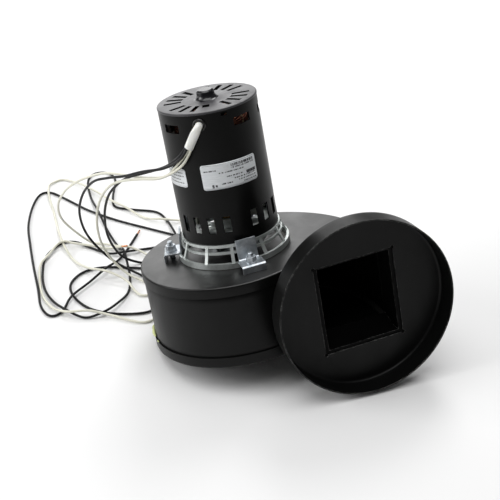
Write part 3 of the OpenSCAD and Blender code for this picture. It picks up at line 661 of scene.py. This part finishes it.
# ---------------------------------------------------------------- labels
def label_mat(name, rects, rows):
    """Silvery film with plain printed bars; no lettering."""
    mt, t, b = nt(name)
    n = N(t)
    uv = n.node("ShaderNodeUVMap", uv_map="label_uv").outputs[0]
    sep = n.node("ShaderNodeSeparateXYZ")
    n.link(uv, sep.inputs[0])
    u, v = sep.outputs[0], sep.outputs[1]
    co = n.coord()

    def box(x0, x1, y0, y1):
        a = n.math("MULTIPLY", n.math("GREATER_THAN", u, x0), n.math("LESS_THAN", u, x1))
        return n.math("MULTIPLY", a, n.math("MULTIPLY", n.math("GREATER_THAN", v, y0), n.math("LESS_THAN", v, y1)))

    ink = None
    for r in rects:
        q = box(*r)
        ink = q if ink is None else n.math("MAXIMUM", ink, q)
    for x0, x1, y0, y1, sc, seed in rows:
        st = n.node("ShaderNodeTexNoise", noise_dimensions="1D")
        n.link(n.math("MULTIPLY_ADD", u, sc, seed), st.inputs["W"])
        st.inputs["Scale"].default_value = 1.0
        st.inputs["Detail"].default_value = 1.0
        q = n.math("MULTIPLY", box(x0, x1, y0, y1), n.math("GREATER_THAN", st.outputs["Fac"], 0.46))
        ink = q if ink is None else n.math("MAXIMUM", ink, q)
    worn = n.remap(n.noise(co, 900, 3, 0.7), 0.3, 0.42)
    ink = n.math("MULTIPLY", ink, worn)
    film = n.mix(n.remap(n.noise(n.scaled(co, (1, 1, 8)), 160, 4, 0.6), 0.3, 0.7), (0.66, 0.69, 0.71), (0.80, 0.82, 0.84))
    film = n.mix(n.math("MULTIPLY", n.remap(n.noise(co, 60, 5, 0.7), 0.56, 0.75), 0.35), film, (0.42, 0.42, 0.40))
    n.link(n.mix(ink, film, (0.03, 0.03, 0.035)), b.inputs["Base Color"])
    b.inputs["Metallic"].default_value = 0.12
    n.link(n.remap(n.noise(co, 200, 3, 0.5), 0.3, 0.7, 0.32, 0.5), b.inputs["Roughness"])
    n.link(n.bump(n.noise(co, 700, 2, 0.5), 0.05, 0.0003), b.inputs["Normal"])
    return mt


def label_piece(node, a0, a1, z0, z1, mat, rc=2.2, cols=40, rws=10):
    V, F, UV = [], [], []
    w_ = math.radians(a1 - a0) * 42.2
    for i in range(cols + 1):
        # columns crowd towards the rounded corners
        t_ = i / cols
        t_ = 0.5 - 0.5 * math.cos(math.pi * t_)
        a = math.radians(a0 + (a1 - a0) * t_)
        x = t_ * w_
        e = min(x, w_ - x)
        c = rc - math.sqrt(max(0.0, rc * rc - (rc - e) ** 2)) if e < rc else 0.0
        for j in range(rws + 1):
            z = z0 + c + (z1 - z0 - 2 * c) * j / rws
            V.append((42.28 * math.cos(a), 42.28 * math.sin(a), z))
            UV.append((t_, (z - z0) / (z1 - z0)))
    for i in range(cols):
        for j in range(rws):
            k = i * (rws + 1) + j
            F.append((k, k + rws + 1, k + rws + 2, k + 1))
    me_ = bpy.data.meshes.new(node + "_film")
    me_.from_pydata([row(v_) for v_ in V], [], F)
    me_.validate()
    lay = me_.uv_layers.new(name="label_uv")
    for lp in me_.loops:
        lay.data[lp.index].uv = UV[lp.vertex_index]
    me_.polygons.foreach_set("use_smooth", [True] * len(me_.polygons))
    me_.materials.append(mat)
    ob_ = bpy.data.objects.new(node + "_film", me_)
    scene.collection.objects.link(ob_)
    finish_piece(ob_, node, "housing", 0.22, None)
    return ob_


RATE = label_mat("rating_film", [(0.78, 0.97, 0.36, 0.48), (0.155, 0.19, 0.07, 0.20), (0.21, 0.245, 0.09, 0.18), (0.03, 0.97, 0.955, 0.965)],
                 [(0.52, 0.95, 0.80, 0.90, 70, 3.1), (0.52, 0.95, 0.72, 0.775, 45, 9.4), (0.30, 0.74, 0.60, 0.645, 38, 1.7), (0.55, 0.97, 0.30, 0.345, 40, 5.2),
                  (0.42, 0.72, 0.42, 0.465, 36, 7.7), (0.62, 0.97, 0.20, 0.245, 44, 2.9), (0.32, 0.52, 0.16, 0.21, 34, 8.8), (0.70, 0.97, 0.09, 0.135, 42, 6.1), (0.04, 0.26, 0.72, 0.765, 30, 4.4)])
WIRE = label_mat("wiring_film", [(0.08, 0.92, 0.93, 0.945)],
                 [(0.12, 0.9, 0.74, 0.80, 34, 2.2), (0.2, 0.92, 0.56, 0.62, 30, 5.5), (0.12, 0.8, 0.38, 0.44, 32, 8.1), (0.25, 0.92, 0.20, 0.26, 36, 1.3)])
label_piece("rating_label", -35.5, 31.5, 69.5, 91.5, RATE)
label_piece("wiring_label", -101, -56, 72, 88.5, WIRE)

# ---------------------------------------------------------------- sleeve round the leads
def leg_pt(x, y, z):
    """Sleeve frame: straight part along x, hanging leg swung by LEG about x."""
    yy = y * math.cos(LEG) - z * math.sin(LEG)
    zz = y * math.sin(LEG) + z * math.cos(LEG)
    q = by_grommet((x, yy, zz))
    return row((q.x, q.y, q.z + 126))


secs = []
for k in range(5):
    secs.append(((38.95 + 3.25 * k / 4, 0.0), 0.0, k / 24))
for k in range(1, 9):
    a = math.radians(90 * k / 8)
    secs.append(((42.2 + 5 * math.sin(a), -5 + 5 * math.cos(a)), a, (4 + k) / 24))
for k in range(1, 13):
    secs.append(((47.2, -5 - 14.95 * k / 12), math.pi / 2, (12 + k) / 24))
rings = []
for (cx, cz), a, t_ in secs:
    ring_ = []
    flat = max(0.0, min(1.0, (t_ - 0.3) / 0.25)) * (1 - 0.75 * max(0.0, (t_ - 0.8) / 0.2))
    ry = 3.15 + 0.75 * flat + 0.5 * max(0.0, (t_ - 0.8) / 0.2)
    rx = 3.1 - 0.75 * flat + 0.6 * max(0.0, (t_ - 0.8) / 0.2)
    for i in range(48):
        f_ = 2 * math.pi * i / 48
        crease = 1 - 0.16 * flat * max(0.0, math.cos(f_ - 1.15)) ** 6 - 0.10 * flat * max(0.0, math.cos(f_ - 3.9)) ** 8
        wob = 1 + 0.02 * math.sin(3 * f_ + 9 * t_) * flat
        y = ry * math.sin(f_) * crease * wob
        nrm_ = rx * math.cos(f_) * crease * wob
        # local frame: n points outwards of the bend
        px_, pz_ = cx + nrm_ * math.sin(a), cz + nrm_ * math.cos(a)
        ring_.append(tuple(leg_pt(px_, y, pz_)))
    rings.append(ring_)
V, F = strip(rings, True)
add_mesh("lead_sleeve_tube", V, F, SLEEVE, "lead_sleeve", smooth=60, solid=0.45, rowframe=True)
refined("lead_grommet", GROM, 0.25, smooth=30)

# ---------------------------------------------------------------- end turns of the windings
CREAM = plastic("lacing_cream", (0.72, 0.62, 0.42), 0.6, 0.15, 0.2, 900)
CORE = metal("winding_core", (0.16, 0.05, 0.03), 0.5, 0.2, None, 700, 0.1, 120, 0.5, (0.03, 0.015, 0.01), 0.4)


def lobe(th):
    return 0.52 + 0.48 * abs(math.sin(6 * (th - math.radians(15)))) ** 0.65


for tag, zc in (("lower", 52.0), ("upper", 116.0)):
    cu = bpy.data.curves.new("winding_%s_strands" % tag, "CURVE")
    cu.dimensions = "3D"
    cu.bevel_depth = 0.00052
    cu.bevel_resolution = 1
    for k in range(30):
        f_ = 2 * math.pi * k / 30
        sp = cu.splines.new("POLY")
        sp.points.add(119)
        for i in range(120):
            th = 2 * math.pi * i / 120
            e = lobe(th) * (1 + 0.05 * math.sin(5 * th + 2.4 * k))
            sw = f_ + 0.22 * math.sin(6 * th + k * 0.7)
            r_ = 28.2 + 3.35 * e * math.cos(sw)
            z_ = zc + 8.6 * e * math.sin(sw)
            sp.points[i].co = (*row((r_ * math.cos(th), r_ * math.sin(th), z_)), 1)
        sp.use_cyclic_u = True
        sp.use_smooth = True
    ob = bpy.data.objects.new("winding_%s_strands" % tag, cu)
    scene.collection.objects.link(ob)
    cu.materials.append(COPPER)
    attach(ob, "housing")
    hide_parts("stator_windings")
    rings = []
    for i in range(120):
        th = 2 * math.pi * i / 120
        e = lobe(th) * 0.93
        rings.append([((28.2 + 3.2 * e * math.cos(f_)) * math.cos(th), (28.2 + 3.2 * e * math.cos(f_)) * math.sin(th), zc + 8.4 * e * math.sin(f_)) for f_ in [2 * math.pi * q / 20 for q in range(20)]])
    rings.append(rings[0])
    V, F = strip(rings, True)
    add_mesh("winding_%s_core" % tag, V, F, CORE, None)
    parts = []
    for k in range(12):
        th0 = math.radians(15 + 30 * k)
        rr = []
        for q in range(20):
            f_ = 2 * math.pi * q / 20
            e = 0.62
            c_ = (28.2 + 3.7 * e * math.cos(f_), zc + 8.9 * e * math.sin(f_))
            one = []
            for w_ in range(6):
                g_ = 2 * math.pi * w_ / 6
                r_ = c_[0] + 0.55 * math.cos(g_) * math.cos(f_)
                z_ = c_[1] + 0.55 * math.cos(g_) * math.sin(f_)
                th = th0 + 0.9 * math.sin(g_) / 28.2 + 0.06 * math.sin(2 * f_ + k)
                one.append((r_ * math.cos(th), r_ * math.sin(th), z_))
            rr.append(one)
        rr.append(rr[0])
        parts.append(strip(rr, True))
    V, F = joined(*parts)
    add_mesh("winding_%s_lacing" % tag, V, F, CREAM, None)
# slot conductors between the two ends
parts = []
for k in range(18):
    th0 = math.radians(20 * k)
    for q in range(3):
        rr = []
        for z_ in (59.5, 61.5, 84, 106.5, 108.5):
            one = []
            for w_ in range(8):
                g_ = 2 * math.pi * w_ / 8
                x_, y_ = 26.1 + 2.4 * q + 1.15 * math.cos(g_), 1.15 * math.sin(g_)
                one.append((x_ * math.cos(th0) - y_ * math.sin(th0), x_ * math.sin(th0) + y_ * math.cos(th0), z_))
            rr.append(one)
        parts.append(strip(rr, True))
V, F = joined(*parts)
add_mesh("winding_slot_bars", V, F, COPPER, None, solid=0.3)

# ---------------------------------------------------------------- stripped ends of the leads
parts = []
for name, (ob, Q) in LEADS.items():
    a_ = Q[-1]
    d_ = (Q[-1] - Q[-3]).normalized()
    u_ = d_.cross(Vector((0, 0, 1))).normalized()
    v_ = d_.cross(u_)
    for k in range(7):
        rr = []
        for i in range(15):
            t_ = i / 14
            tw = 2 * math.pi * (k / 6 + 1.3 * t_)
            rad = 0.0 if k == 6 else 0.00052 * (1 + 0.35 * t_ * t_)
            c_ = a_ + d_ * (-0.0006 + 0.0082 * t_ - (0.0004 * (k % 3) if i == 14 else 0)) + (u_ * math.cos(tw) + v_ * math.sin(tw)) * rad
            rr.append([tuple(c_ + (u_ * math.cos(g_) + v_ * math.sin(g_)) * 0.00026) for g_ in [math.pi * q / 3 for q in range(6)]])
        V_, F_ = strip(rr, True)
        F_ = F_ + [tuple(range(5, -1, -1)), tuple(range(84, 90))]
        parts.append((V_, F_))
V, F = joined(*parts)
TIPS = add_mesh("bare_strands", V, F, BARE, "bare_tips", rowframe=True)

# ---------------------------------------------------------------- sealant squeezed out at the base seam
parts = []
for a0, a1, out, tall, mid in ((190.5, 197.5, 0.75, 1.25, -63.4), (200.5, 203, 0.45, 0.75, -63.4), (247, 266, 1.9, 3.0, -62.6), (271, 274, 0.6, 0.8, -63.6)):
    rr = []
    nseg = 26
    for i in range(nseg + 1):
        t_ = i / nseg
        th = math.radians(a0 + (a1 - a0) * t_)
        b_ = (0.2 + 0.8 * math.sin(math.pi * t_) ** 0.6) * (1 + 0.13 * math.sin(17 * t_ + a0) + 0.06 * math.sin(41 * t_))
        one = []
        for q in range(12):
            g_ = 2 * math.pi * q / 12
            r_ = 77.1 + out * b_ * math.cos(g_)
            z_ = mid + tall * b_ * math.sin(g_)
            one.append((4 + r_ * math.cos(th), -8 + r_ * math.sin(th), z_))
        rr.append(one)
    V_, F_ = strip(rr, True)
    F_ = F_ + [tuple(range(11, -1, -1)), tuple(range(nseg * 12, nseg * 12 + 12))]
    parts.append((V_, F_))
V, F = joined(*parts)
add_mesh("seam_sealant_beads", V, F, BEAD, None)

# ---------------------------------------------------------------- light and ground
def area(name, loc, target, size, power, color=(1, 1, 1), size_y=None):
    L = bpy.data.lights.new(name, "AREA")
    L.shape = "RECTANGLE" if size_y else "SQUARE"
    L.size = size
    if size_y:
        L.size_y = size_y
    L.energy = power
    L.color = color
    o = bpy.data.objects.new(name, L)
    scene.collection.objects.link(o)
    o.location = loc
    d = Vector(target) - Vector(loc)
    o.rotation_euler = d.to_track_quat("-Z", "Y").to_euler()
    return o


w = bpy.data.worlds.new("studio")
scene.world = w
w.use_nodes = True
bg = w.node_tree.nodes["Background"]
bg.inputs[0].default_value = (1, 1, 1, 1)
bg.inputs[1].default_value = 0.10
c0 = (0, 0, 0.1)
area("soft_top", (0.1, -0.25, 2.7), c0, 2.4, 54)
area("soft_side", (-2.3, 0.1, 0.6), c0, 1.5, 15)
area("soft_left", (-0.5, -2.2, 1.2), c0, 1.4, 34)
area("soft_back", (-1.35, 0.85, 1.95), c0, 0.8, 21)

me = bpy.data.meshes.new("ground")
me.from_pydata([(-6, -6, 0), (6, -6, 0), (6, 6, 0), (-6, 6, 0)], [], [(0, 1, 2, 3)])
mt, t, b = nt("ground_white")
n = N(t)
col = n.mix(n.noise(n.coord(), 3, 2, 0.5), (0.86, 0.86, 0.86), (0.88, 0.88, 0.88))
n.link(col, b.inputs["Base Color"])
b.inputs["Roughness"].default_value = 0.8
b.inputs["Specular IOR Level"].default_value = 0.0
me.materials.append(mt)
g = bpy.data.objects.new("ground", me)
g.location = (0, 0, -0.0002)
scene.collection.objects.link(g)
scene.view_settings.view_transform = "Standard"
scene.view_settings.look = "None"
scene.view_settings.exposure = 0.0

bpy.context.view_layer.update()
